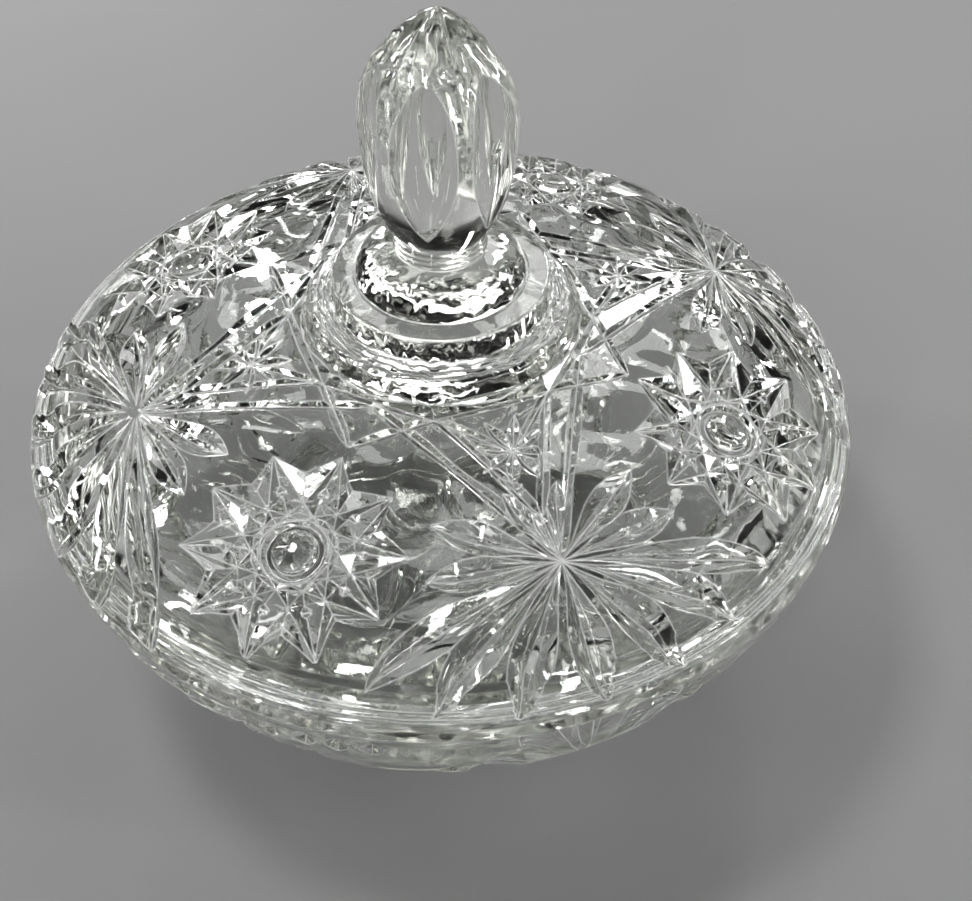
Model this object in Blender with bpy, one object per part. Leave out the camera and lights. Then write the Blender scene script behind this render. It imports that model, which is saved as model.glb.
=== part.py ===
"""Powder jar in clear cut crystal: a low round bowl and a loose domed lid with a fluted finial.

The jar stands on Z = 0 with its axis on Z. Sizes are in millimetres, and MM turns them into metres.
"""

import math

import bmesh
import bpy

MM = 0.001

# The whole jar
LID_RADIUS = 70.0
BOWL_HEIGHT = 46.0
SEAT_GAP = 0.3
LID_SEAT = BOWL_HEIGHT + SEAT_GAP
SEGMENTS = 60
CURVE_STEPS = 6
MERGE_DISTANCE = 0.01
CRYSTAL_COLOUR = (0.93, 0.95, 0.93, 1.0)
CRYSTAL_IOR = 1.54
CRYSTAL_ROUGHNESS = 0.03
SHARP_ANGLE = math.radians(32)

# Bowl, measured from the table
BOWL_RADIUS = 69.4
BOWL_MOUTH = 63.8
EDGE_ROUND = 0.6
STRAIGHT_RIM = 0.8
STRAIGHT_INSIDE = 5.0
FLOOR_THICKNESS = 7.0
SIDE_LEAN = 33.0
SIDE_POWER = 2 / 1.5
INSIDE_POWER = 2 / 1.9
FOOT_TOP = 3.2
FOOT_RADIUS = 36.0
FOOT_BEVEL = 0.7
FOOT_INSIDE = 27.5
BASE_RECESS = 0.8

# Lid, measured from the plane of its seat
LID_RIM_HEIGHT = 2.9
LID_RIM_ROUND = 0.6
LID_SEAT_ROUND = 0.4
FLANGE_INNER = 67.3
FLANGE_SLOPE = 0.5
DOME_FOOT = (65.3, 5.3)
DOME_SHOULDER = (64.0, 12.5)
DOME_TOP = (25.0, 19.1)
COVE_CORNER = (22.0, 19.7)
COVE_TOP = (21.5, 23.1)
COVE_LEDGE = 0.6
STEP_INNER = (17.9, 23.6)
DISC_EDGE = (17.3, 28.2)
DISC_RING = (13.7, 28.5)
DISC_CORNER = (12.9, 33.0)
STEM_RADIUS = 7.2
STEM_FOOT = 33.5
STEM_TOP = 36.4
STEM_NECK = 0.5
NECK_RADIUS = 6.9
FINIAL_RADIUS = 12.0
FINIAL_WAIST = 55.3
FINIAL_SHOULDER = 12.0
FINIAL_HIP = 12.4
FINIAL_TIP = 73.7
LOCATING_RADIUS = 63.1
LOCATING_TAPER = 0.3
LOCATING_INNER = 60.4
LOCATING_DEPTH = 4.2
LOCATING_BEVEL = 0.5
CEILING_EDGE = (57.5, 2.0)
CEILING_CORNER = (50.0, 10.5)
CEILING_CROWN = (30.0, 12.6)
CEILING_HEIGHT = 13.5

# Flutes of the finial
FLUTE_COUNT = 6
FLUTE_TURN = math.radians(-99)
FLUTE_CENTRE = (13.0, 54.0)
FLUTE_RADII = (3.9, 5.4, 19.0)
FLUTE_TILT = 0.0
FLUTE_SEGMENTS = 20
FLUTE_RINGS = 14


def clear_scene():
    for item in list(bpy.data.objects):
        bpy.data.objects.remove(item, do_unlink=True)


def crystal_material():
    material = bpy.data.materials.new("clear_crystal")
    material.use_nodes = True
    shader = material.node_tree.nodes["Principled BSDF"]
    shader.inputs["Base Color"].default_value = CRYSTAL_COLOUR
    shader.inputs["Metallic"].default_value = 0.0
    shader.inputs["Roughness"].default_value = CRYSTAL_ROUGHNESS
    shader.inputs["IOR"].default_value = CRYSTAL_IOR
    shader.inputs["Transmission Weight"].default_value = 1.0
    return material


def bend(start, corner, end):
    """Points of a round stretch from start to end that leaves and arrives towards corner."""
    points = []
    for step in range(CURVE_STEPS + 1):
        t = step / CURVE_STEPS
        weights = ((1 - t) ** 2, 2 * t * (1 - t), t**2)
        points.append(
            tuple(sum(w * p[axis] for w, p in zip(weights, (start, corner, end))) for axis in (0, 1))
        )
    return points


def swell(outer, inner, top, bottom, power, stop=0.0):
    """Points of a bowl's curve from (outer, top) down towards (inner, bottom), ending at height stop."""
    points = []
    for step in range(2 * CURVE_STEPS + 1):
        angle = math.radians(90) * step / (2 * CURVE_STEPS)
        radius = inner + (outer - inner) * max(math.cos(angle), 0.0) ** power
        height = top - (top - bottom) * math.sin(angle) ** power
        if height >= stop:
            points.append((radius, height))
    return points


def bowl_profile():
    """The bowl's section, from the mouth down its outer side, under the foot and back up inside."""
    rim = BOWL_HEIGHT - EDGE_ROUND
    side_top = rim - STRAIGHT_RIM
    inside_top = rim - STRAIGHT_INSIDE
    profile = [(BOWL_RADIUS - EDGE_ROUND, BOWL_HEIGHT), (BOWL_RADIUS, rim)]
    profile += swell(BOWL_RADIUS, SIDE_LEAN, side_top, 0.0, SIDE_POWER, FOOT_TOP)
    profile += [
        (FOOT_RADIUS, FOOT_TOP - FOOT_BEVEL),
        (FOOT_RADIUS, FOOT_BEVEL),
        (FOOT_RADIUS - FOOT_BEVEL, 0.0),
        (FOOT_INSIDE, 0.0),
        (FOOT_INSIDE - BASE_RECESS, BASE_RECESS),
        (0.0, BASE_RECESS),
    ]
    inside = swell(BOWL_MOUTH, 0.0, inside_top, FLOOR_THICKNESS, INSIDE_POWER)
    profile += reversed(inside)
    profile += [(BOWL_MOUTH, rim), (BOWL_MOUTH + EDGE_ROUND, BOWL_HEIGHT)]
    return profile + profile[:1]


def finial_profile():
    shoulder = (FINIAL_RADIUS, FINIAL_WAIST + FINIAL_SHOULDER)
    waist = (FINIAL_RADIUS, FINIAL_WAIST)
    hip = (FINIAL_RADIUS, FINIAL_WAIST - FINIAL_HIP)
    return bend((0.0, FINIAL_TIP), shoulder, waist) + bend(waist, hip, (NECK_RADIUS, STEM_TOP))[1:]


def collar_profile():
    stem = [(STEM_RADIUS, STEM_TOP - STEM_NECK), (STEM_RADIUS, STEM_FOOT)]
    disc = bend((STEM_RADIUS, STEM_FOOT), DISC_CORNER, DISC_RING)[1:]
    step = [DISC_EDGE, STEP_INNER, (COVE_TOP[0] - COVE_LEDGE, STEP_INNER[1]), COVE_TOP]
    cove = bend(COVE_TOP, COVE_CORNER, DOME_TOP)[1:]
    return stem + disc + step + cove


def underside_profile():
    """The lid's seat, the locating ring that drops into the bowl's mouth, and the hollow ceiling."""
    wall = LOCATING_RADIUS - LOCATING_TAPER
    seat = [(LID_RADIUS - LID_SEAT_ROUND, 0.0), (LOCATING_RADIUS, 0.0)]
    ring = [
        (wall, LOCATING_BEVEL - LOCATING_DEPTH),
        (wall - LOCATING_BEVEL, -LOCATING_DEPTH),
        (LOCATING_INNER, -LOCATING_DEPTH),
    ]
    ceiling = bend(CEILING_EDGE, CEILING_CORNER, CEILING_CROWN)
    return seat + ring + ceiling + [(0.0, CEILING_HEIGHT)]


def lid_profile():
    """The lid's section, from the finial's tip down its outer side and back under to the axis."""
    dome = bend(DOME_TOP, DOME_SHOULDER, DOME_FOOT)[1:]
    rim = [
        (FLANGE_INNER, LID_RIM_HEIGHT + FLANGE_SLOPE),
        (LID_RADIUS - LID_RIM_ROUND, LID_RIM_HEIGHT),
        (LID_RADIUS, LID_RIM_HEIGHT - LID_RIM_ROUND),
        (LID_RADIUS, LID_SEAT_ROUND),
    ]
    return finial_profile() + collar_profile() + dome + rim + underside_profile()


def turned(name, profile, height=0.0):
    """A solid turned around Z from a section in millimetres, with its origin on the axis."""
    shape = bmesh.new()
    corners = [shape.verts.new((radius * MM, 0.0, z * MM)) for radius, z in profile]
    edges = [shape.edges.new(pair) for pair in zip(corners, corners[1:])]
    bmesh.ops.spin(
        shape,
        geom=corners + edges,
        axis=(0.0, 0.0, 1.0),
        angle=math.tau,
        steps=SEGMENTS,
    )
    bmesh.ops.remove_doubles(shape, verts=shape.verts, dist=MERGE_DISTANCE * MM)
    bmesh.ops.recalc_face_normals(shape, faces=shape.faces)
    mesh = bpy.data.meshes.new(name)
    shape.to_mesh(mesh)
    shape.free()
    mesh.shade_smooth()
    mesh.set_sharp_from_angle(angle=SHARP_ANGLE)
    solid = bpy.data.objects.new(name, mesh)
    solid.location.z = height * MM
    bpy.context.scene.collection.objects.link(solid)
    return solid


def ellipsoid(name, radii, centre, turn, tilt):
    """A cutter with its long axis near Z, stood beside the jar's axis at an angle around it."""
    mesh = bpy.data.meshes.new(name)
    shape = bmesh.new()
    bmesh.ops.create_uvsphere(
        shape,
        u_segments=FLUTE_SEGMENTS,
        v_segments=FLUTE_RINGS,
        radius=1.0,
    )
    bmesh.ops.scale(shape, vec=[radius * MM for radius in radii], verts=shape.verts)
    shape.to_mesh(mesh)
    shape.free()
    cutter = bpy.data.objects.new(name, mesh)
    bpy.context.scene.collection.objects.link(cutter)
    distance, height = centre
    cutter.location = (
        distance * math.cos(turn) * MM,
        distance * math.sin(turn) * MM,
        (LID_SEAT + height) * MM,
    )
    cutter.rotation_euler = (0.0, tilt, turn)
    cutter.hide_render = True
    cutter.display_type = "WIRE"
    return cutter


def cut(solid, cutter):
    boolean = solid.modifiers.new(cutter.name, "BOOLEAN")
    boolean.operation = "DIFFERENCE"
    boolean.solver = "EXACT"
    boolean.object = cutter


def make_bowl(material):
    bowl = turned("bowl", bowl_profile())
    bowl.data.materials.append(material)


def make_lid(material):
    lid = turned("lid", lid_profile(), LID_SEAT)
    lid.data.materials.append(material)
    for index in range(FLUTE_COUNT):
        turn = FLUTE_TURN + math.tau * index / FLUTE_COUNT
        cut(lid, ellipsoid(f"flute_cutter_{index + 1}", FLUTE_RADII, FLUTE_CENTRE, turn, FLUTE_TILT))


def main():
    clear_scene()
    crystal = crystal_material()
    make_bowl(crystal)
    make_lid(crystal)


main()
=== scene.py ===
"""Looks of a powder jar in clear cut crystal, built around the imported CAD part.

Sizes are in millimetres and become metres through MM. Each glass piece is a finely turned body cut by
V-shaped grooves, as a cutting wheel makes them. A motif is laid out in its own flat chart, with
`across` running round the jar and `out` running away from the finial or down the bowl's side, and a
chart function carries it onto the curved glass.
"""

import math

import bmesh
import bpy
import numpy as np
from mathutils import Matrix, Vector, noise


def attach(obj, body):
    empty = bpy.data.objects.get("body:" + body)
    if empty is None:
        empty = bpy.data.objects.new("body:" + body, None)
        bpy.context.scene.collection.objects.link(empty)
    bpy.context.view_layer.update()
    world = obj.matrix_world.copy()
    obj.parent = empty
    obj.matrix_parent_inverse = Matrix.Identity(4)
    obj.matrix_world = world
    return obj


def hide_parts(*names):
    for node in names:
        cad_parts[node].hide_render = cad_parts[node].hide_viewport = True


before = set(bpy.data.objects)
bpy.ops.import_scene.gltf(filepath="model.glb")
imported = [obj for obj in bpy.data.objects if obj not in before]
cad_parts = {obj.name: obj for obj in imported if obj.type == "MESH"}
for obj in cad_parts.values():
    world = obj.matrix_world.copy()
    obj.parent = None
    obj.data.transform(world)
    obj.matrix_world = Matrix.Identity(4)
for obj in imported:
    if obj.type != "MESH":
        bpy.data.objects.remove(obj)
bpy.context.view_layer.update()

MM = 0.001

# Turned bodies. A section's corners are (radius, height, easing), each rounded over its easing.
SEGMENTS = 240
ARC_STEPS = 8
MERGE_DISTANCE = 0.002
SHARP_ANGLE = math.radians(12)

# Bowl, measured from the table
BOWL_HEIGHT = 46.0
BOWL_RADIUS = 69.4
BOWL_MOUTH = 63.8
SIDE_TOP = 44.6
SIDE_LEAN = 33.0
SIDE_POWER = 2 / 1.5
SIDE_STEPS = 60
INSIDE_TOP = 40.4
INSIDE_POWER = 2 / 1.9
INSIDE_STEPS = 40
FLOOR_THICKNESS = 7.0
FOOT_TOP = 3.2
FOOT_CHAMFER = 0.7
FOOT_RADIUS = 36.0
FOOT_INSIDE = 27.5
BASE_RECESS = 0.8
BOWL_RIM = (
    (BOWL_MOUTH, INSIDE_TOP, 0),
    (BOWL_MOUTH, BOWL_HEIGHT, 0.8),
    (BOWL_RADIUS, BOWL_HEIGHT, 0.7),
    (BOWL_RADIUS, SIDE_TOP, 0),
)
BOWL_FOOT = (
    (FOOT_RADIUS, FOOT_TOP - FOOT_CHAMFER, 0.4),
    (FOOT_RADIUS, 0.0, 0.7),
    (FOOT_INSIDE, 0.0, 0.5),
    (FOOT_INSIDE - BASE_RECESS, BASE_RECESS, 0.3),
    (0.0, BASE_RECESS, 0),
)

# Lid, measured from its seat. Beads are (start, end, count, swelling).
LID_SEAT = 46.3
FINIAL_TIP = 73.7
FINIAL_WAIST = 55.3
FINIAL_RADIUS = 12.0
FINIAL_SHOULDER = 12.0
FINIAL_HIP = 12.4
FINIAL_STEPS = 26
NECK_RADIUS = 6.9
STEM_FOOT = 33.5
STEM_TOP = 36.4
STEM_BEADS = ((7.0, STEM_TOP - 0.2), (7.25, STEM_FOOT), 3, 0.3)
DISC = ((7.3, STEM_FOOT - 0.1), (12.9, 33.0), (13.6, 28.6))
DISC_STEPS = 16
COLLAR = (
    (13.75, 28.2, 0.1),
    (14.2, 28.4, 0.2),
    (17.5, 28.2, 0.5),
    (17.6, 23.9, 0.3),
    (18.1, 23.6, 0.1),
)
COLLAR_BEADS = ((18.2, 23.65), (21.2, 23.25), 3, 0.2)
DOME_TOP = (25.0, 19.1)
DOME_SHOULDER = (64.0, 12.5)
DOME_FOOT = (65.3, 5.3)
DOME_STEPS = 34
COVE = ((21.5, 22.9), (22.0, 19.7), DOME_TOP)
COVE_STEPS = 12
RIM_SLOPE = [(65.5, 5.0), (66.0, 4.3), (66.5, 3.8), (67.0, 3.5)]
FLANGE_BEADS = ((67.1, 3.4), (69.3, 3.0), 2, 0.32)
FLANGE_TOP = [(67.1, 3.6), (69.0, 3.0)]
EDGE_AND_RING = (
    (69.35, 2.9, 0),
    (69.65, 2.6, 0.4),
    (70.0, 0.0, 0.45),
    (63.1, 0.0, 0.1),
    (62.8, -4.2, 0.5),
    (60.4, -4.2, 0.5),
    (57.5, 2.0, 0),
)
CEILING_SLOPE = ((57.5, 2.0), (50.0, 10.5), (30.0, 12.6))
CEILING_SLOPE_STEPS = 24
CEILING_TOP = ((30.0, 12.6), (15.0, 13.5), (0.0, 13.5))
CEILING_TOP_STEPS = 8

# Grooves. A wheel is half a groove's width over its depth, and a peak is where along it the groove is
# deepest.
WHEEL = 1.4
CLEAR = 0.7
END_REACH = 0.2
FLANK = (0.33, 0.67, 1.0)
PETAL_WHEEL = 1.45
PETAL_PEAK = 0.66
PETAL_ROUNDING = 0.6
PETAL_START = 0.15
PETAL_STEPS = 18
VEIN_SHARE = 0.77
VEIN_WHEEL = 0.85
STAR_WHEEL = 1.5

# Layout of the lid's pattern, eight motifs round the jar. The first pinwheel is the front one.
PINWHEELS = [math.radians(-68.6 + 90 * k) for k in range(4)]
HOBSTARS = [math.radians(-113.6 + 90 * k) for k in range(4)]
PINWHEEL_DISTANCE = 51.3
HOBSTAR_DISTANCE = 50.3
HOBSTAR_RADIUS = 17.4
HOBSTAR_WIDTH = 6.4
HOBSTAR_SQUASH = 0.9
HOBSTAR_POINTS = 10
LONG_STRIDE = 4
LONG_PEAK = 0.25
LONG_MIDDLE = 0.6
SHORT_STRIDE = 3
SHORT_REACH = 0.97
SHORT_WIDTH = 0.42
SMALL_STAR_DISTANCE = 32.2
SMALL_STAR_RAYS = 8
SMALL_STAR_START = 0.1
SMALL_STAR_LENGTH = 6.6
SMALL_STAR_WIDTH = 2.2
SMALL_STAR_PEAK = 0.42

# Petals of a pinwheel: (angle from straight out, length, width)
INNER_PETALS = (
    (99.5, 20.0, 5.2),
    (125, 19.5, 5.4),
    (161, 13.0, 3.6),
    (172, 9.0, 2.6),
)
OUTER_PETALS = (
    (0, 17.7, 6.6),
    (38.5, 20.8, 6.8),
    (63.3, 27.0, 6.4),
    (79.2, 33.2, 5.8),
)
RIM_PETALS = (
    (0, 25.0, 6.6),
    (38.5, 28.5, 6.8),
    (63.3, 34.5, 6.4),
    (79.2, 41.0, 5.8),
)

# Ring round a hobstar's button: (distance, depth)
BUTTON_CUT = (
    (0.3, -0.15),
    (0.9, 0.03),
    (1.6, 0.17),
    (2.2, 0.4),
    (2.7, 0.75),
    (3.0, 1.2),
    (3.1, 1.9),
    (3.9, 2.0),
    (5.8, -0.8),
    (0.3, -0.8),
)
BUTTON_SCALE = 1.12

# Mitre cuts between the motifs and the collar: (distance of the start, turn to the end in degrees)
MITRE_END = 24.6
MITRE_WIDTH = 1.8
MITRE_RUN_OUT = 0.08
MITRES = ((51.0, 45), (44.0, 21.5))
CHORD_DISTANCE = 32.6
CHORD_TURN = 45
CHORD_WIDTH = 1.6

# Pattern of the bowl. Drops run down its side from the rim.
OVER_RIM = 6.0
BOWL_PINWHEEL_DROP = 19.0
BOWL_PETALS = 14
BOWL_PETAL_LENGTH = 26.0
BOWL_PETAL_SHORTER = 3.0
BOWL_PETAL_NEAR_RIM = 1.5
BOWL_PETAL_WIDTH = 9.5
BOWL_PETAL_WHEEL = 1.6
BOWL_VEIN_WIDTH = 7.2
BOWL_VEIN_WHEEL = 1.0
BOWL_PETAL_PEAK = 0.72
BOWL_HOBSTAR_DROP = 24.0
BOWL_HOBSTAR_RADIUS = 18.5
BOWL_HOBSTAR_WIDTH = 6.8
RIM_CUTS = range(-4, 5)
RIM_CUT_TURN = math.radians(4.2)
RIM_CUT_DROP = 1.5
RIM_CUT_LENGTH = 6.0
RIM_CUT_SHORTER = 0.4
RIM_CUT_WIDTH = 3.8
FOOT_CUTS = 48
FOOT_CUT_FROM = 45.0
FOOT_CUT_LONGER = 4.0
FOOT_CUT_TO = 55.0
FOOT_CUT_WIDTH = 4.4
FOOT_CUT_PEAK = 0.6
BASE_RAYS = 24
BASE_RAY_START = 1.2
BASE_RAY_LENGTHS = (25.5, 19.0)
BASE_RAY_WIDTH = 2.6
BASE_RAY_PEAK = 0.66

# Flutes and tip of the finial
FLUTES = 6
FLUTE_TURN = math.radians(-99)
FLUTE_LOW = 40.6
FLUTE_WIDEST = 54.4
FLUTE_HIGH = 67.2
FLUTE_HALF_WIDTH = 5.0
FLUTE_ARCH = 0.62
FLUTE_TAIL = 0.9
FLUTE_HOLLOW = 0.3
FLUTE_STEPS = 40
FLUTE_ACROSS = 8
FLUTE_CLEAR = 3.0
FLUTE_FLARE = 1.6
FLUTE_END = (0.3, 1.5)
CREASES = 6
CREASE_START = 61.0
CREASE_LENGTH = 6.0
CREASE_DEPTH = 0.6
AXIS_NEAR = 0.01

# Waves of the moulded faces: where they are, by radius and by height over the seat
FACE_SLACK = 0.3
WALL_SLACK = 0.5
INSIDE_FADE = 6.0
CEILING_REACH = 57.4
RING_INSIDE = 60.0
RING_TOP = 1.9
DOME_REACH = (26.0, 65.0)
DOME_FADE = 4.0
FLANGE_REACH = (67.2, 69.3)
FLANGE_HEIGHT = 2.8
TIP_FADE = 6.0
TIP_RADIUS = 2.0
COLLAR_REACH = (19.2, 28.0)
COLLAR_FADE = 1.5
COLLAR_INSIDE = 8.0
DISC_REACH = (28.7, 33.2)
DISC_INSIDE = 7.8

# Crystal
CRYSTAL_TINT = (0.985, 0.995, 0.985, 1)
CRYSTAL_IOR = 1.545
ABSORPTION_COLOUR = (0.86, 0.88, 0.74, 1)
ABSORPTION_DENSITY = 7.0
SMEAR_SCALE = 45.0
SMEAR_DETAIL = 5.0
SMEAR_DISTORTION = 0.6
SMEAR_RANGE = (0.5, 0.8)
SMEAR_ROUGHNESS = 0.05
WAVE_SCALE = 260.0
WAVE_DETAIL = 4.0
WAVE_STRENGTH = 0.35
WAVE_HEIGHT = 0.1
EDGE_RADIUS = 0.38
EDGE_SAMPLES = 4
GROUND_FROM = 68.9
GROUND_FADE = 0.5
GROUND_ABOVE = 0.1
GROUND_ROUGHNESS = 0.04
# Painted highlight on the cut edges: how much clearness they lose to the white base colour, and from
# what turn of the rounded normal it starts
EDGE_HIGHLIGHT_SHARE = 0.5
EDGE_HIGHLIGHT_FROM = 0.93

# Studio. A light is (place, size, power) and looks at the jar's middle. Camera angles are in degrees.
JAR_MIDDLE = (0, 0, 40)
BACK_LIGHT = ((60, 520, 560), (420, 240), 1.5)
TOP_LIGHT = ((-260, 60, 760), (150, 150), 2.6)
STRIPS = [math.radians(angle) for angle in (20, 65, 115, 160, 205, 250, 300, 340)]
STRIP_DISTANCE = 560
STRIP_HEIGHTS = (230, 400)
STRIP_SIZE = (36, 300)
STRIP_POWER = 1.15
WORLD_STRENGTH = 0.008
FLOOR_COLOUR = (0.18, 0.18, 0.18, 1)
FLOOR_ROUGHNESS = 0.75
FLOOR_RADIUS = 2500.0
FLOOR_SIDES = 96
FLOOR_DROP = 0.02
CAMERA_PLACE = (7.64, -172.4, 213.64)
CAMERA_DOWN = 46.43
CAMERA_ROLL = 0.79
CAMERA_LENS = 50.88
CAMERA_SENSOR = 36.0
BOUNCES = 24
GLOSSY_BOUNCES = 8
DIFFUSE_BOUNCES = 3


def bend(start, corner, end, steps):
    """Points of a round stretch from start to end that leaves and arrives towards corner."""
    points = []
    for step in range(steps + 1):
        t = step / steps
        weights = ((1 - t) ** 2, 2 * t * (1 - t), t**2)
        points.append(
            tuple(sum(w * p[axis] for w, p in zip(weights, (start, corner, end))) for axis in (0, 1))
        )
    return points


def swell(outer, inner, top, bottom, power, steps, stop=0.0):
    """Points of a bowl's curve from (outer, top) down towards (inner, bottom), ending at height stop."""
    points = []
    for step in range(steps + 1):
        angle = math.radians(90) * step / steps
        radius = inner + (outer - inner) * max(math.cos(angle), 0.0) ** power
        height = top - (top - bottom) * math.sin(angle) ** power
        if height >= stop:
            points.append((radius, height))
    return points


def eased(corners):
    """A section through corners (radius, height, easing), each corner rounded over its easing."""
    points = []
    for index, (radius, height, easing) in enumerate(corners):
        here = Vector((radius, height))
        before = Vector(corners[index - 1][:2]) if index else here
        after = Vector(corners[index + 1][:2]) if index + 1 < len(corners) else here
        if easing == 0 or before == here or after == here:
            points.append((radius, height))
            continue
        start = here + (before - here).normalized() * easing
        end = here + (after - here).normalized() * easing
        points += bend(tuple(start), tuple(here), tuple(end), ARC_STEPS)
    return points


def beads(start, end, count, swelling, steps=8):
    """A row of small round beads from start to end, standing out to the left of the way they run."""
    first = Vector(start)
    way = Vector(end) - first
    out = Vector((way.y, -way.x)).normalized()
    points = []
    for step in range(count * steps + 1):
        share = step / (count * steps)
        rise = swelling * abs(math.sin(math.pi * count * share))
        points.append(tuple(first + way * share - out * rise))
    return points


DOME = bend(DOME_TOP, DOME_SHOULDER, DOME_FOOT, DOME_STEPS)
SIDE = swell(BOWL_RADIUS, SIDE_LEAN, SIDE_TOP, 0.0, SIDE_POWER, SIDE_STEPS, FOOT_TOP)
INSIDE = swell(BOWL_MOUTH, 0.0, INSIDE_TOP, FLOOR_THICKNESS, INSIDE_POWER, INSIDE_STEPS)
CEILING = bend(*CEILING_SLOPE, CEILING_SLOPE_STEPS)[1:] + bend(*CEILING_TOP, CEILING_TOP_STEPS)[1:]
INSIDE_BY_HEIGHT = ([z for _, z in INSIDE[::-1]], [r for r, _ in INSIDE[::-1]])
DOME_BY_RADIUS = ([r for r, _ in DOME], [z for _, z in DOME])
CEILING_BY_RADIUS = ([r for r, _ in CEILING[::-1]], [z for _, z in CEILING[::-1]])


def bowl_section():
    foot = eased([(*SIDE[-1], 0), *BOWL_FOOT])
    return eased(BOWL_RIM) + SIDE[1:-1] + foot + INSIDE[::-1]


def finial_section():
    tip = (0.0, FINIAL_TIP)
    waist = (FINIAL_RADIUS, FINIAL_WAIST)
    shoulder = (FINIAL_RADIUS, FINIAL_WAIST + FINIAL_SHOULDER)
    hip = (FINIAL_RADIUS, FINIAL_WAIST - FINIAL_HIP)
    top = bend(tip, shoulder, waist, FINIAL_STEPS)
    return top + bend(waist, hip, (NECK_RADIUS, STEM_TOP), FINIAL_STEPS)[1:]


def lid_section():
    stem = beads(*STEM_BEADS) + bend(*DISC, DISC_STEPS)
    collar = eased(COLLAR) + beads(*COLLAR_BEADS) + bend(*COVE, COVE_STEPS)
    rim = DOME[1:] + RIM_SLOPE + beads(*FLANGE_BEADS)
    return finial_section() + stem + collar + rim + eased(EDGE_AND_RING) + CEILING


def mesh_object(name, points, faces):
    mesh = bpy.data.meshes.new(name)
    mesh.from_pydata([tuple(p * MM) for p in points], [], faces)
    solid = bpy.data.objects.new(name, mesh)
    bpy.context.scene.collection.objects.link(solid)
    return solid


def turned(name, section, height):
    """A solid turned round Z from a section in millimetres."""
    shape = bmesh.new()
    corners = [shape.verts.new((radius * MM, 0.0, (z + height) * MM)) for radius, z in section]
    edges = [shape.edges.new(pair) for pair in zip(corners, corners[1:])]
    if section[0][0] > 0:
        edges.append(shape.edges.new((corners[-1], corners[0])))
    bmesh.ops.spin(shape, geom=corners + edges, axis=(0, 0, 1), angle=math.tau, steps=SEGMENTS)
    bmesh.ops.remove_doubles(shape, verts=shape.verts, dist=MERGE_DISTANCE * MM)
    bmesh.ops.recalc_face_normals(shape, faces=shape.faces)
    mesh = bpy.data.meshes.new(name)
    shape.to_mesh(mesh)
    shape.free()
    solid = bpy.data.objects.new(name, mesh)
    bpy.context.scene.collection.objects.link(solid)
    return solid


# Charts


class Section:
    """A run of a section, read by radius or by length along it."""

    def __init__(self, points, height=0.0):
        run = np.array(points)
        self.radius = run[:, 0]
        self.height = run[:, 1] + height
        steps = np.hypot(np.diff(self.radius), np.diff(self.height))
        self.length = np.concatenate([[0.0], np.cumsum(steps)])
        rise = np.gradient(self.height, self.length)
        self.lean = np.arctan2(rise, np.gradient(self.radius, self.length))

    def at(self, key, value):
        """Radius, height and lean where key ("radius" or "length") has this value."""
        keys = getattr(self, key)
        return (np.interp(value, keys, column) for column in (self.radius, self.height, self.lean))


dome_run = Section(DOME + FLANGE_TOP, LID_SEAT)
side_run = Section([(BOWL_RADIUS, BOWL_HEIGHT + OVER_RIM)] + SIDE)


def lid_chart(azimuth, distance):
    """Carries (across, out), as seen from above and measured from a point of the dome."""
    outward = Vector((math.cos(azimuth), math.sin(azimuth)))
    round_it = Vector((-outward.y, outward.x))

    def place(across, out):
        spot = outward * (distance + out) + round_it * across
        _, height, lean = dome_run.at("radius", spot.length)
        away = spot.normalized()
        normal = Vector((-math.sin(lean) * away.x, -math.sin(lean) * away.y, math.cos(lean)))
        return Vector((spot.x, spot.y, height)), normal

    return place


def bowl_chart(azimuth, drop):
    """Carries (across, out) onto the bowl's side, measured from a point drop below the rim."""

    def place(across, out):
        radius, height, lean = side_run.at("length", OVER_RIM + drop + out)
        turn = azimuth + across / radius
        x, y = math.cos(turn), math.sin(turn)
        normal = Vector((x * -math.sin(lean), y * -math.sin(lean), math.cos(lean)))
        return Vector((radius * x, radius * y, height)), normal

    return place


def base_chart(azimuth):
    """Carries (across, out) onto the underside of the bowl, measured from the axis."""
    outward = Vector((math.cos(azimuth), math.sin(azimuth), 0))
    round_it = Vector((-outward.y, outward.x, 0))

    def place(across, out):
        return outward * out + round_it * across + Vector((0, 0, BASE_RECESS)), Vector((0, 0, -1))

    return place


# Grooves


def leaf(peak):
    """A depth that rises to its most at peak along the way and runs out to a point at both ends."""
    skew = math.log(0.5) / math.log(peak)
    return lambda t: max(math.sin(math.pi * t**skew), 0.0)


def even(run_out):
    """A depth that is the same all along, with short run-outs."""
    return lambda t: math.sin(math.pi / 2 * min(1.0, t / run_out, (1 - t) / run_out))


def pointed(peak, middle):
    """A depth that grows evenly from each end to its most at peak, and sinks to middle halfway."""

    def shape(t):
        near = min(t, 1 - t)
        if near < peak:
            return near / peak
        return 1 + (middle - 1) * (near - peak) / (0.5 - peak)

    return shape


def groove(place, path, width, shape, steps=14, wheel=WHEEL, round_by=0.0):
    """What one straight pass of a V-edged wheel takes away, its flanks rounded out by round_by."""
    spots = []
    for step in range(steps + 1):
        t = step / steps
        across, out = (a + (b - a) * t for a, b in zip(*path))
        spots.append((*place(across, out), width / 2 / wheel * shape(t)))
    rings = []
    for index, (spot, normal, depth) in enumerate(spots):
        ahead = spots[min(index + 1, steps)][0] - spots[max(index - 1, 0)][0]
        side = ahead.cross(normal).normalized()
        reach = side * (depth + CLEAR) * wheel
        top = spot + normal * CLEAR
        flank = []
        for share in FLANK if round_by else ():
            sunk = depth * (1 - share + round_by * share * (1 - share))
            flank.append((side * depth * wheel * share, spot - normal * sunk))
        ring = [spot - normal * depth]
        ring += [middle + aside for aside, middle in flank]
        ring += [top + reach, top - reach]
        ring += [middle - aside for aside, middle in reversed(flank)]
        rings.append(ring)
    ends = []
    for end, before in ((0, 1), (steps, steps - 1)):
        spot, normal, _ = spots[end]
        ends.append(spot + normal * CLEAR + (spot - spots[before][0]).normalized() * END_REACH)
    return loft(rings, *ends)


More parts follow.
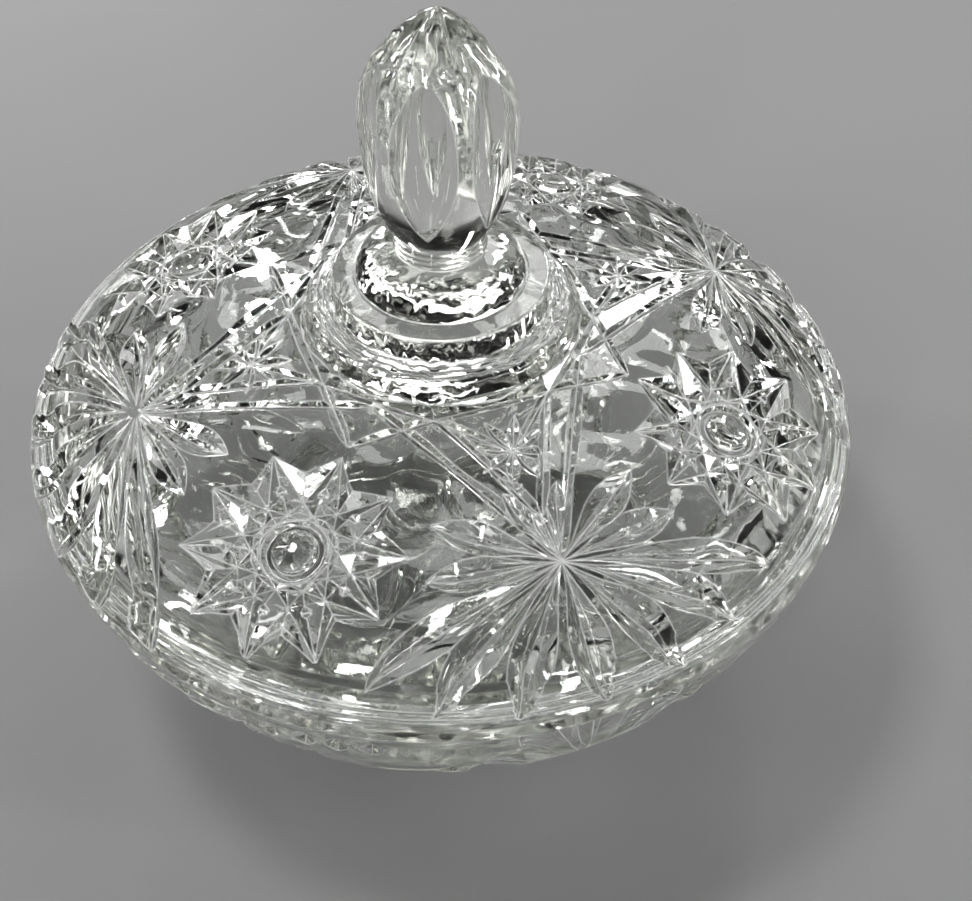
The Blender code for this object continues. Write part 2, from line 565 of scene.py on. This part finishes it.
def loft(rings, first, last):
    """Points and faces of a closed solid through rings of points, with a single point at each end."""
    count = len(rings[0])
    points = [first] + [p for ring in rings for p in ring] + [last]
    end = len(points) - 1
    faces = []
    for index in range(len(rings) - 1):
        faces += band(1 + index * count, 1 + (index + 1) * count, count)
    for k in range(count):
        after = (k + 1) % count
        faces.append((0, 1 + after, 1 + k))
        faces.append((end, end - count + k, end - count + after))
    return points, faces


def band(here, there, count):
    """Faces between two rings of count points that start at these places in the list of points."""
    turns = [(k, (k + 1) % count) for k in range(count)]
    return [(here + k, here + after, there + after, there + k) for k, after in turns]


def ring_cut(place, outline, steps=40):
    """A cut that runs right round a motif's middle. outline holds its (distance, depth) section."""
    points = []
    faces = []
    count = len(outline)
    for k in range(steps):
        turn = math.tau * k / steps
        for distance, depth in outline:
            spot, normal = place(math.sin(turn) * distance, math.cos(turn) * distance)
            points.append(spot - normal * depth)
        faces += band(k * count, (k + 1) % steps * count, count)
    return points, faces


def from_middle(angle, near, far):
    """A straight path out of a motif's middle, angle being measured from straight out."""
    return [(math.sin(angle) * d, math.cos(angle) * d) for d in (near, far)]


# Motifs


def petal(place, path, wide, narrow, peak):
    """A leaf-shaped cut with a steeper vein cut down its middle, each given as (width, wheel)."""
    shape = leaf(peak)
    width, wheel = wide
    cuts = [groove(place, path, width, shape, PETAL_STEPS, wheel, PETAL_ROUNDING)]
    width, wheel = narrow
    return cuts + [groove(place, path, width, shape, PETAL_STEPS, wheel)]


def petals(place, angle, length, width):
    """The petals at this angle, in degrees, to both sides of straight out."""
    cuts = []
    for turn in sorted({angle, -angle}):
        path = from_middle(math.radians(turn), PETAL_START, length)
        cuts += petal(place, path, (width, PETAL_WHEEL), (width * VEIN_SHARE, VEIN_WHEEL), PETAL_PEAK)
    return cuts


def hobstar(place, radius, squash, width):
    """A star of crossing mitre cuts round a plain domed button."""
    cuts = []

    def chord(start, stride, distance):
        turns = [math.tau * k / HOBSTAR_POINTS for k in (start, start + stride)]
        return [(math.sin(turn) * distance, math.cos(turn) * distance * squash) for turn in turns]

    long_shape = pointed(LONG_PEAK, LONG_MIDDLE)
    for k in range(HOBSTAR_POINTS):
        path = chord(k, LONG_STRIDE, radius)
        cuts.append(groove(place, path, width, long_shape, steps=24, wheel=STAR_WHEEL))
        path = chord(k, SHORT_STRIDE, radius * SHORT_REACH)
        cuts.append(groove(place, path, width * SHORT_WIDTH, leaf(0.5), steps=20))
    cuts.append(ring_cut(place, [(distance * BUTTON_SCALE, depth) for distance, depth in BUTTON_CUT]))
    return cuts


def small_star(place):
    cuts = []
    for k in range(SMALL_STAR_RAYS):
        turn = math.tau * (k + 0.5) / SMALL_STAR_RAYS
        path = from_middle(turn, SMALL_STAR_START, SMALL_STAR_LENGTH)
        cuts.append(groove(place, path, SMALL_STAR_WIDTH, leaf(SMALL_STAR_PEAK), steps=10))
    return cuts


def mitre(start, end, width=MITRE_WIDTH):
    """A straight mitre cut on the dome between two spots given as (azimuth in degrees, distance)."""
    path = [(math.sin(math.radians(a)) * d, math.cos(math.radians(a)) * d) for a, d in (start, end)]
    return groove(lid_chart(0.0, 0.0), path, width, even(MITRE_RUN_OUT), steps=24)


def lid_cuts():
    cuts = []
    for azimuth in PINWHEELS:
        place = lid_chart(azimuth, PINWHEEL_DISTANCE)
        outer = OUTER_PETALS if azimuth == PINWHEELS[0] else RIM_PETALS
        for angle, length, width in INNER_PETALS + outer:
            cuts += petals(place, angle, length, width)
        cuts += small_star(lid_chart(azimuth, SMALL_STAR_DISTANCE))
        here = math.degrees(azimuth)
        for side in (-1, 1):
            for start, turn in MITRES:
                cuts.append(mitre((here, start), (here + turn * side, MITRE_END)))
        for middle in (here, here + CHORD_TURN):
            ends = [(middle + turn, CHORD_DISTANCE) for turn in (-CHORD_TURN, CHORD_TURN)]
            cuts.append(mitre(*ends, CHORD_WIDTH))
    for azimuth in HOBSTARS:
        place = lid_chart(azimuth, HOBSTAR_DISTANCE)
        cuts += hobstar(place, HOBSTAR_RADIUS, HOBSTAR_SQUASH, HOBSTAR_WIDTH)
    return cuts


def bowl_cuts():
    cuts = []
    wide = (BOWL_PETAL_WIDTH, BOWL_PETAL_WHEEL)
    narrow = (BOWL_VEIN_WIDTH, BOWL_VEIN_WHEEL)
    for azimuth in PINWHEELS:
        place = bowl_chart(azimuth, BOWL_PINWHEEL_DROP)
        for k in range(BOWL_PETALS):
            angle = math.tau * k / BOWL_PETALS
            shorter = BOWL_PETAL_NEAR_RIM * (1 + math.cos(angle))
            length = BOWL_PETAL_LENGTH - BOWL_PETAL_SHORTER * (k % 2) - shorter
            path = from_middle(angle, PETAL_START, length)
            cuts += petal(place, path, wide, narrow, BOWL_PETAL_PEAK)
    for azimuth in HOBSTARS:
        place = bowl_chart(azimuth, BOWL_HOBSTAR_DROP)
        cuts += hobstar(place, BOWL_HOBSTAR_RADIUS, 1.0, BOWL_HOBSTAR_WIDTH)
        for k in RIM_CUTS:
            place = bowl_chart(azimuth + RIM_CUT_TURN * k, RIM_CUT_DROP)
            path = [(0.0, 0.0), (0.0, RIM_CUT_LENGTH - abs(k) * RIM_CUT_SHORTER)]
            cuts.append(groove(place, path, RIM_CUT_WIDTH, leaf(0.5), steps=8))
    for k in range(FOOT_CUTS):
        place = bowl_chart(PINWHEELS[0] + math.tau * k / FOOT_CUTS, 0.0)
        path = [(0.0, FOOT_CUT_FROM - FOOT_CUT_LONGER * (k % 2)), (0.0, FOOT_CUT_TO)]
        cuts.append(groove(place, path, FOOT_CUT_WIDTH, leaf(FOOT_CUT_PEAK), 10, PETAL_WHEEL))
    return cuts


def base_cuts():
    cuts = []
    for k in range(BASE_RAYS):
        place = base_chart(math.tau * k / BASE_RAYS)
        path = [(0.0, BASE_RAY_START), (0.0, BASE_RAY_LENGTHS[k % 2])]
        cuts.append(groove(place, path, BASE_RAY_WIDTH, leaf(BASE_RAY_PEAK), steps=10))
    return cuts


def flute(turn):
    """A hollow cut up the finial's side, pointed like a Gothic arch on top."""
    section = np.array(finial_section())[::-1]
    outward = Vector((math.cos(turn), math.sin(turn), 0))
    side = Vector((-outward.y, outward.x, 0))
    rings = []
    for step in range(FLUTE_STEPS + 1):
        height = FLUTE_LOW + (FLUTE_HIGH - FLUTE_LOW) * (1 - math.cos(math.pi * step / FLUTE_STEPS)) / 2
        radius = np.interp(height, section[:, 1], section[:, 0])
        if height > FLUTE_WIDEST:
            share = max((FLUTE_HIGH - height) / (FLUTE_HIGH - FLUTE_WIDEST), 0.0) ** FLUTE_ARCH
        else:
            share = max((height - FLUTE_LOW) / (FLUTE_WIDEST - FLUTE_LOW), 0.0) ** FLUTE_TAIL
        half_width = FLUTE_HALF_WIDTH * math.sin(math.pi / 2 * share)
        edge = math.sqrt(radius**2 - half_width**2)
        hollow = FLUTE_HOLLOW * half_width
        ring = []
        for k in range(FLUTE_ACROSS + 1):
            u = -1 + 2 * k / FLUTE_ACROSS
            ring.append(outward * (edge - hollow * (1 - u * u)) + side * half_width * u)
        for u in (1, -1):
            ring.append(outward * (radius + FLUTE_CLEAR) + side * (half_width + FLUTE_FLARE) * u)
        rings.append([p + Vector((0, 0, height + LID_SEAT)) for p in ring])
    ends = []
    past, beyond = FLUTE_END
    for height in (FLUTE_LOW - past, FLUTE_HIGH + past):
        radius = np.interp(height, section[:, 1], section[:, 0])
        ends.append(outward * (radius + beyond) + Vector((0, 0, height + LID_SEAT)))
    return loft(rings, *ends)


def crease_finial(lid):
    """Flattens the top of the finial into panels that meet at the tip."""
    panel = math.tau / CREASES
    for point in lid.data.vertices:
        x, y, z = point.co / MM
        height = z - LID_SEAT
        if height < CREASE_START or math.hypot(x, y) < AXIS_NEAR:
            continue
        turn = (math.atan2(y, x) - FLUTE_TURN + panel / 2) % panel - panel / 2
        share = min((height - CREASE_START) / CREASE_LENGTH, 1.0)
        pull = 1 + CREASE_DEPTH * share * (math.cos(panel / 2) / math.cos(turn) - 1)
        point.co.x *= pull
        point.co.y *= pull


def ripple(solid, depth, wave, parts):
    """Gives the parts of a solid the soft waves of glass that was pressed and fire-polished."""
    for point in solid.data.vertices:
        x, y, z = point.co / MM
        radius = math.hypot(x, y)
        share = parts(radius, z)
        if share > 0:
            up, out, _ = noise.noise_vector(Vector((x, y, z)) / wave) * depth * share
            point.co.z += up * MM
            point.co.x += out * MM * x / max(radius, 1.0)
            point.co.y += out * MM * y / max(radius, 1.0)


def fade(value, start, length):
    """Grows from 0 at start to 1 over length."""
    return min(1.0, max(0.0, (value - start) / length))


def bowl_inside(radius, height):
    """How much of the waves a point of the bowl takes: all inside, and none near the rim."""
    wall = np.interp(height, *INSIDE_BY_HEIGHT)
    return float(radius < wall + WALL_SLACK) * fade(INSIDE_TOP - height, 0.0, INSIDE_FADE)


def lid_inside(radius, height):
    """How much of the waves a point of the lid takes: all on the ceiling, and none near its ring."""
    ceiling = np.interp(radius, *CEILING_BY_RADIUS)
    return float(radius < CEILING_REACH and height - LID_SEAT < ceiling + FACE_SLACK)


def locating_ring(radius, height):
    """How much of the waves a point of the lid takes: only its ring, inside and below."""
    inside = radius < RING_INSIDE and height < LID_SEAT + RING_TOP
    return float(height < LID_SEAT - WALL_SLACK or inside)


def dome_top(radius, height):
    """How much of the waves a point of the lid takes: only the top of the dome."""
    near, far = DOME_REACH
    on_dome = near < radius < far and height - LID_SEAT > np.interp(radius, *DOME_BY_RADIUS) - FACE_SLACK
    return float(on_dome) * fade(radius, near, DOME_FADE)


def lid_flange(radius, height):
    """How much of the fine unevenness a point of the lid takes: only the top of its flange."""
    near, far = FLANGE_REACH
    return float(near < radius < far and height > LID_SEAT + FLANGE_HEIGHT)


def finial_top(radius, height):
    """How much of the fine unevenness a point of the finial takes: only above its flutes' shoulders."""
    return fade(height - LID_SEAT, FLUTE_WIDEST, TIP_FADE) * fade(radius, 0.0, TIP_RADIUS)


def collar(radius, height):
    """How much of the unevenness a point of the stepped collar takes."""
    height -= LID_SEAT
    low, high = COLLAR_REACH
    return float(low < height < high and radius > COLLAR_INSIDE) * fade(height, low, COLLAR_FADE)


def disc_top(radius, height):
    """How much of the unevenness a point of the disc under the stem takes."""
    low, high = DISC_REACH
    return float(low < height - LID_SEAT < high and radius > DISC_INSIDE)


# Depth and wavelength of the waves, and where they are
BOWL_RIPPLES = ((0.5, 9.0, bowl_inside),)
LID_RIPPLES = (
    (0.6, 8.0, lid_inside),
    (0.2, 4.0, locating_ring),
    (0.28, 7.0, dome_top),
    (0.12, 1.3, lid_flange),
    (0.22, 1.4, finial_top),
    (0.4, 1.9, collar),
    (0.16, 1.8, disc_top),
)


def settled(mesh):
    """Puts a mesh's points and faces in one fixed order, whatever order the solver's threads left."""
    places = [tuple(point.co) for point in mesh.vertices]
    order = sorted(range(len(places)), key=places.__getitem__)
    rank = {old: new for new, old in enumerate(order)}
    faces = []
    for face in mesh.polygons:
        corners = [rank[old] for old in face.vertices]
        first = corners.index(min(corners))
        faces.append(corners[first:] + corners[:first])
    mesh.clear_geometry()
    mesh.from_pydata([places[old] for old in order], [], sorted(faces))
    return mesh


def combine(pairs, operation):
    """Joins the second solid of each pair to the first, or takes it away, and removes it."""
    for first, second in pairs:
        boolean = first.modifiers.new("cuts", "BOOLEAN")
        boolean.operation = operation
        boolean.solver = "MANIFOLD"
        boolean.object = second
    graph = bpy.context.evaluated_depsgraph_get()
    solids = [first.evaluated_get(graph) for first, _ in pairs]
    results = [bpy.data.meshes.new_from_object(solid, depsgraph=graph) for solid in solids]
    for (first, second), result in zip(pairs, results):
        first.modifiers.clear()
        first.data = settled(result)
        bpy.data.objects.remove(second)


def cut(solid, cuts):
    """Takes all cuts away from the solid, after joining them two by two in a fixed order."""
    cutters = []
    for index, (points, faces) in enumerate(cuts):
        cutter = mesh_object(f"cut_{index}", points, faces)
        shape = bmesh.new()
        shape.from_mesh(cutter.data)
        bmesh.ops.recalc_face_normals(shape, faces=shape.faces)
        shape.to_mesh(cutter.data)
        shape.free()
        cutters.append(cutter)
    while len(cutters) > 1:
        combine(list(zip(cutters[::2], cutters[1::2])), "UNION")
        cutters = cutters[::2]
    combine([(solid, cutters[0])], "DIFFERENCE")


def finish_glass(solid, material):
    solid.data.materials.clear()
    solid.data.materials.append(material)
    solid.data.shade_smooth()
    solid.data.set_sharp_from_angle(angle=SHARP_ANGLE)


# Materials


def new_material(name):
    material = bpy.data.materials.new(name)
    material.use_nodes = True
    return material, material.node_tree.nodes, material.node_tree.links


def map_range(nodes, source, target=(0.0, 1.0)):
    node = nodes.new("ShaderNodeMapRange")
    for name, value in zip(("From Min", "From Max", "To Min", "To Max"), (*source, *target)):
        node.inputs[name].default_value = value
    return node


def vector_math(nodes, operation):
    node = nodes.new("ShaderNodeVectorMath")
    node.operation = operation
    return node


def value_math(nodes, operation):
    node = nodes.new("ShaderNodeMath")
    node.operation = operation
    return node


def crystal_material():
    """Clear crystal, with faint smears, waves, a ground edge on the lid and a painted highlight along
    the cut edges.
    """
    material, nodes, links = new_material("clear_cut_crystal")
    shader = nodes["Principled BSDF"]
    shader.inputs["Base Color"].default_value = CRYSTAL_TINT
    shader.inputs["Transmission Weight"].default_value = 1.0
    shader.inputs["IOR"].default_value = CRYSTAL_IOR
    absorb = nodes.new("ShaderNodeVolumeAbsorption")
    absorb.inputs["Color"].default_value = ABSORPTION_COLOUR
    absorb.inputs["Density"].default_value = ABSORPTION_DENSITY
    links.new(absorb.outputs["Volume"], nodes["Material Output"].inputs["Volume"])
    place = nodes.new("ShaderNodeTexCoord").outputs["Object"]
    ground = ground_edge(nodes, links, place)
    smears = nodes.new("ShaderNodeTexNoise")
    smears.inputs["Scale"].default_value = SMEAR_SCALE
    smears.inputs["Detail"].default_value = SMEAR_DETAIL
    smears.inputs["Distortion"].default_value = SMEAR_DISTORTION
    dull = map_range(nodes, SMEAR_RANGE, (0.0, SMEAR_ROUGHNESS))
    rough = value_math(nodes, "ADD")
    links.new(place, smears.inputs["Vector"])
    links.new(smears.outputs["Fac"], dull.inputs["Value"])
    links.new(dull.outputs["Result"], rough.inputs[0])
    links.new(ground.outputs["Result"], rough.inputs[1])
    links.new(rough.outputs["Value"], shader.inputs["Roughness"])
    bevel = nodes.new("ShaderNodeBevel")
    bevel.samples = EDGE_SAMPLES
    bevel.inputs["Radius"].default_value = EDGE_RADIUS * MM
    # Painted highlight: cut edges are made less clear so that the white base colour shows there as
    # bright lines
    clear = painted_edge_highlight(nodes, links, bevel)
    links.new(clear.outputs["Result"], shader.inputs["Transmission Weight"])
    waves = nodes.new("ShaderNodeTexNoise")
    waves.inputs["Scale"].default_value = WAVE_SCALE
    waves.inputs["Detail"].default_value = WAVE_DETAIL
    bump = nodes.new("ShaderNodeBump")
    bump.inputs["Strength"].default_value = WAVE_STRENGTH
    bump.inputs["Distance"].default_value = WAVE_HEIGHT * MM
    links.new(place, waves.inputs["Vector"])
    links.new(waves.outputs["Fac"], bump.inputs["Height"])
    links.new(bevel.outputs["Normal"], bump.inputs["Normal"])
    links.new(bump.outputs["Normal"], shader.inputs["Normal"])
    return material


def ground_edge(nodes, links, place):
    """The roughness of the lid's ground edge: far out from the axis, and above the seat."""
    apart = nodes.new("ShaderNodeSeparateXYZ")
    level = vector_math(nodes, "MULTIPLY")
    level.inputs[1].default_value = (1, 1, 0)
    radius = vector_math(nodes, "LENGTH")
    outside = map_range(nodes, (GROUND_FROM * MM, (GROUND_FROM + GROUND_FADE) * MM))
    above = map_range(nodes, ((LID_SEAT - GROUND_ABOVE) * MM, LID_SEAT * MM))
    both = value_math(nodes, "MULTIPLY")
    ground = map_range(nodes, (0.0, 1.0), (0.0, GROUND_ROUGHNESS))
    links.new(place, apart.inputs["Vector"])
    links.new(place, level.inputs[0])
    links.new(level.outputs["Vector"], radius.inputs[0])
    links.new(radius.outputs["Value"], outside.inputs["Value"])
    links.new(apart.outputs["Z"], above.inputs["Value"])
    links.new(outside.outputs["Result"], both.inputs[0])
    links.new(above.outputs["Result"], both.inputs[1])
    links.new(both.outputs["Value"], ground.inputs["Value"])
    return ground


def painted_edge_highlight(nodes, links, bevel):
    """How clear the glass is: less along a cut's edge, so that the white base colour shows there as a
    painted highlight line.
    """
    surface = nodes.new("ShaderNodeNewGeometry")
    turned_away = vector_math(nodes, "DOT_PRODUCT")
    clear = map_range(nodes, (EDGE_HIGHLIGHT_FROM, 1.0), (1 - EDGE_HIGHLIGHT_SHARE, 1.0))
    links.new(surface.outputs["Normal"], turned_away.inputs[0])
    links.new(bevel.outputs["Normal"], turned_away.inputs[1])
    links.new(turned_away.outputs["Value"], clear.inputs["Value"])
    return clear


def floor_material():
    material, nodes, _ = new_material("pale_floor")
    shader = nodes["Principled BSDF"]
    shader.inputs["Base Color"].default_value = FLOOR_COLOUR
    shader.inputs["Roughness"].default_value = FLOOR_ROUGHNESS
    return material


# Studio


def make_floor():
    turns = [math.tau * k / FLOOR_SIDES for k in range(FLOOR_SIDES)]
    points = [Vector((math.cos(turn), math.sin(turn), 0)) * FLOOR_RADIUS for turn in turns]
    floor = mesh_object("floor", points, [range(FLOOR_SIDES)])
    floor.location.z = -FLOOR_DROP * MM
    floor.data.materials.append(floor_material())


def softbox(name, place, size, power):
    light = bpy.data.lights.new(name, "AREA")
    light.shape = "RECTANGLE"
    light.size, light.size_y = (side * MM for side in size)
    light.energy = power
    lamp = bpy.data.objects.new(name, light)
    lamp.location = Vector(place) * MM
    away = Vector(place) - Vector(JAR_MIDDLE)
    lamp.rotation_euler = away.to_track_quat("Z", "Y").to_euler()
    bpy.context.scene.collection.objects.link(lamp)


def make_lights():
    softbox("back", *BACK_LIGHT)
    softbox("top", *TOP_LIGHT)
    for k, turn in enumerate(STRIPS):
        spot = (math.cos(turn) * STRIP_DISTANCE, math.sin(turn) * STRIP_DISTANCE, STRIP_HEIGHTS[k % 2])
        softbox(f"strip_{k + 1}", spot, STRIP_SIZE, STRIP_POWER)


def make_world():
    world = bpy.data.worlds.new("studio")
    world.use_nodes = True
    background = world.node_tree.nodes["Background"]
    background.inputs["Color"].default_value = (1, 1, 1, 1)
    background.inputs["Strength"].default_value = WORLD_STRENGTH
    bpy.context.scene.world = world


def make_camera():
    camera = bpy.data.objects.new("camera", bpy.data.cameras.new("camera"))
    camera.data.sensor_width = CAMERA_SENSOR
    camera.data.lens = CAMERA_LENS
    place = Matrix.Translation(Vector(CAMERA_PLACE) * MM)
    tip = Matrix.Rotation(math.radians(90 - CAMERA_DOWN), 4, "X")
    roll = Matrix.Rotation(math.radians(CAMERA_ROLL), 4, "Z")
    camera.matrix_world = place @ tip @ roll
    bpy.context.scene.collection.objects.link(camera)
    bpy.context.scene.camera = camera


crystal = crystal_material()

bowl = turned("bowl_crystal", bowl_section(), 0.0)
for depth, wave, parts in BOWL_RIPPLES:
    ripple(bowl, depth, wave, parts)
cut(bowl, bowl_cuts() + base_cuts())
finish_glass(bowl, crystal)

lid = turned("lid_crystal", lid_section(), LID_SEAT)
crease_finial(lid)
for depth, wave, parts in LID_RIPPLES:
    ripple(lid, depth, wave, parts)
cut(lid, lid_cuts() + [flute(FLUTE_TURN + math.tau / FLUTES * k) for k in range(FLUTES)])
finish_glass(lid, crystal)

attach(bowl, "bowl")
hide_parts("bowl")
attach(lid, "lid")
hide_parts("lid")

make_floor()
make_lights()
make_world()
make_camera()

bpy.context.scene.view_settings.view_transform = "Standard"
cycles = bpy.context.scene.cycles
cycles.max_bounces = BOUNCES
cycles.transmission_bounces = BOUNCES
cycles.glossy_bounces = GLOSSY_BOUNCES
cycles.diffuse_bounces = DIFFUSE_BOUNCES
